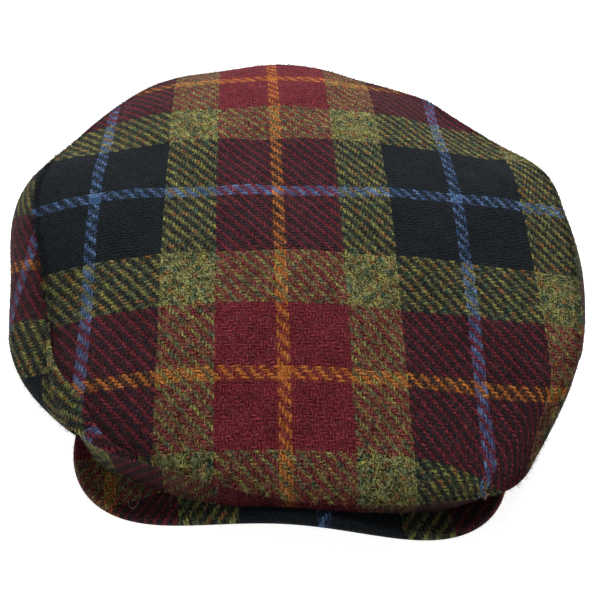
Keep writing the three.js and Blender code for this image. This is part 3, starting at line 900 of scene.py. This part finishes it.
# each fibre is a thin tapering three-sided tube along a parabola: (1 - t)^2 root + 2 t (1 - t) knee + t^2 tip
def fuzzPiece(name, face, threads, material, slotName):
    count, stand = fuzz["count"][name], fuzz["stand"].get(name, 0.0)
    rng = np.random.default_rng(fuzz["seed"] + list(fuzz["count"]).index(name))
    across = face[1:, :-1] - face[:-1, :-1]
    along = face[:-1, 1:] - face[:-1, :-1]
    normals = np.cross(across, along)
    areas = np.linalg.norm(normals, axis=-1)
    pick = rng.choice(areas.size, count, p=(areas / areas.sum()).ravel())
    i, j = np.unravel_index(pick, areas.shape)
    a, b = rng.random((2, count, 1))
    roots = face[i, j] + a * across[i, j] + b * along[i, j]
    normal = normals[i, j] / areas[i, j][:, None]
    places = threads[i, j] + a * (threads[i + 1, j] - threads[i, j]) + b * (threads[i, j + 1] - threads[i, j])
    tangent = unit(np.cross(normal, rng.normal(size=(count, 3))))
    sideways = np.cross(normal, tangent)

    def draw(label):
        return rng.uniform(*fuzz[label], (count, 1))

    length = draw("length") * draw("shorten")
    lean, bend, twist = draw("lean") + stand, draw("bend") + stand, draw("twist")
    knee = roots + length / 2 * (np.cos(lean) * tangent + np.sin(lean) * normal)
    turned = np.cos(twist) * tangent + np.sin(twist) * sideways
    tip = knee + length / 2 * (np.cos(bend) * turned + np.sin(bend) * normal)
    start = roots - fuzz["rooted"] * normal
    t = np.linspace(0, 1, fuzz["samples"])[None, :, None]
    path = (1 - t) ** 2 * start[:, None] + 2 * t * (1 - t) * knee[:, None] + t ** 2 * tip[:, None]
    path[..., 2] = np.maximum(path[..., 2], fuzz["lowest"])
    tubes, quads = tubeGrid(path, sideways[:, None], fuzz["radius"] * (1 - fuzz["taper"] * t))
    places = np.floor(places) + 0.5  # the colour of the middle of a yarn
    threadsAt = np.repeat(places, fuzz["samples"] * 3, axis=0)
    makePiece(name, tubes, quads, threadsAt, material)


fuzzPiece("topFuzz", topOuter, topCounts, topTweed, "top_tweed")
fuzzPiece("seamFuzz", topOuter[-fuzz["seamRows"]:], topCounts[-fuzz["seamRows"]:], topTweed, "top_tweed")
fuzzPiece("leftFuzz", *leftFace, sideTweed, "side_tweed")
fuzzPiece("rightFuzz", *rightFace, sideTweed, "side_tweed")
fuzzPiece("bandFuzz", *bandFace, bandTweed, "band_tweed")
fuzzPiece("peakFuzz", peakTop, peakThreads(peakTop), peakTweed, "peak_tweed")
fuzzPiece("lapFuzz", *lapFace, sideTweed, "side_tweed")

hairs = {
    "radius": 0.09, "taper": 0.6, "samples": 14,
    "look": {"Base Color": (0.42, 0.40, 0.36, 1), "Roughness": 0.6},
    "paths": np.array([
        [(-53.8, -105.0, 10.0), (-51.0, -113.0, 11.5), (-55.0, -121.0, 10.2), (-57.1, -112.5, 9.2)],
        [(-41.5, -107.0, 17.0), (-40.5, -112.0, 16.0), (-42.0, -115.0, 15.0), (-41.0, -118.0, 14.2)],
    ]),
}


# long loose hairs of pale wool: tubes along cubic curves steered by the four places given for each
def hairPiece():
    t = np.linspace(0, 1, hairs["samples"])[None, :, None]
    a, b, c, d = (hairs["paths"][:, None, k] for k in range(4))
    path = (1 - t) ** 3 * a + 3 * t * (1 - t) ** 2 * b + 3 * t ** 2 * (1 - t) * c + t ** 3 * d
    material = shaderMaterial("looseHair", hairs["look"])[0]
    tubes, quads = tubeGrid(path, np.array([0.0, 0.0, 1.0]), hairs["radius"] * (1 - hairs["taper"] * t))
    makePiece("looseHairs", tubes, quads, np.zeros((len(tubes), 2)), material)


hairPiece()
print("fibres made")

stage = {
    "floorHalf": 4.0, "worldLight": 0.11,
    # the floor glows a little, like a light table
    "floorLook": {"Base Color": (0.9, 0.9, 0.9, 1), "Roughness": 0.9,
                  "Emission Color": (1, 1, 1, 1), "Emission Strength": 0.9},
    # name, place, aimed at, size, watts
    "lamps": [
        ("backPanel", (0.1, 1.0, 1.2), (0, 0, 0.05), 1.2, 48.5),
        ("leftPanel", (-0.9, -0.55, 0.35), (-0.06, -0.09, 0.02), 0.5, 2.2),
    ],
}
floorMesh = bpy.data.meshes.new("floor")
half = stage["floorHalf"]
corners = [(-half, -half, 0), (half, -half, 0), (half, half, 0), (-half, half, 0)]
floorMesh.from_pydata(corners, [], [(0, 1, 2, 3)])
floor = bpy.data.objects.new("floor", floorMesh)
bpy.context.scene.collection.objects.link(floor)
floorMesh.materials.append(shaderMaterial("paleFloor", stage["floorLook"])[0])

world = bpy.data.worlds.new("softRoom")
world.use_nodes = True
sky = world.node_tree.nodes["Background"]
sky.inputs["Color"].default_value = (1, 1, 1, 1)
sky.inputs["Strength"].default_value = stage["worldLight"]
bpy.context.scene.world = world


# right, up and back directions of something that looks away from back, its right side level
def levelAxes(back):
    back = unit(np.array(back))
    right = unit(np.cross((0, 0, 1), back))
    return right, np.cross(back, right), back


def standAt(thing, right, up, back, place):
    columns = [(*right, 0), (*up, 0), (*back, 0), (*place, 1)]
    thing.matrix_world = Matrix(np.column_stack(columns).tolist())
    bpy.context.scene.collection.objects.link(thing)


for name, place, target, size, watts in stage["lamps"]:
    light = bpy.data.lights.new(name, "AREA")
    light.size = size
    light.energy = watts
    standAt(bpy.data.objects.new(name, light), *levelAxes(np.subtract(place, target)), place)

view = {
    "place": (-7.63, -332.38, 291.99), "azimuth": -2.05, "elevation": 40.02, "roll": 3.54,
    "lens": 58.05, "sensor": 36.0, "nearest": 0.01,
}


# camera axes: looking down at the elevation, turned about the view by the roll
def placeCamera():
    azimuth, elevation, roll = (math.radians(view[k]) for k in ("azimuth", "elevation", "roll"))
    level = math.cos(elevation)
    right, up, back = levelAxes((math.sin(azimuth) * level, -math.cos(azimuth) * level, math.sin(elevation)))
    turnedRight = right * math.cos(roll) + up * math.sin(roll)
    turnedUp = up * math.cos(roll) - right * math.sin(roll)
    data = bpy.data.cameras.new("photoCamera")
    data.lens = view["lens"]
    data.sensor_width = view["sensor"]
    data.sensor_fit = "HORIZONTAL"
    data.clip_start = view["nearest"]
    camera = bpy.data.objects.new("photoCamera", data)
    standAt(camera, turnedRight, turnedUp, back, np.array(view["place"]) * mm)
    bpy.context.scene.camera = camera


placeCamera()
bpy.context.scene.view_settings.view_transform = "Standard"
print("stage set")
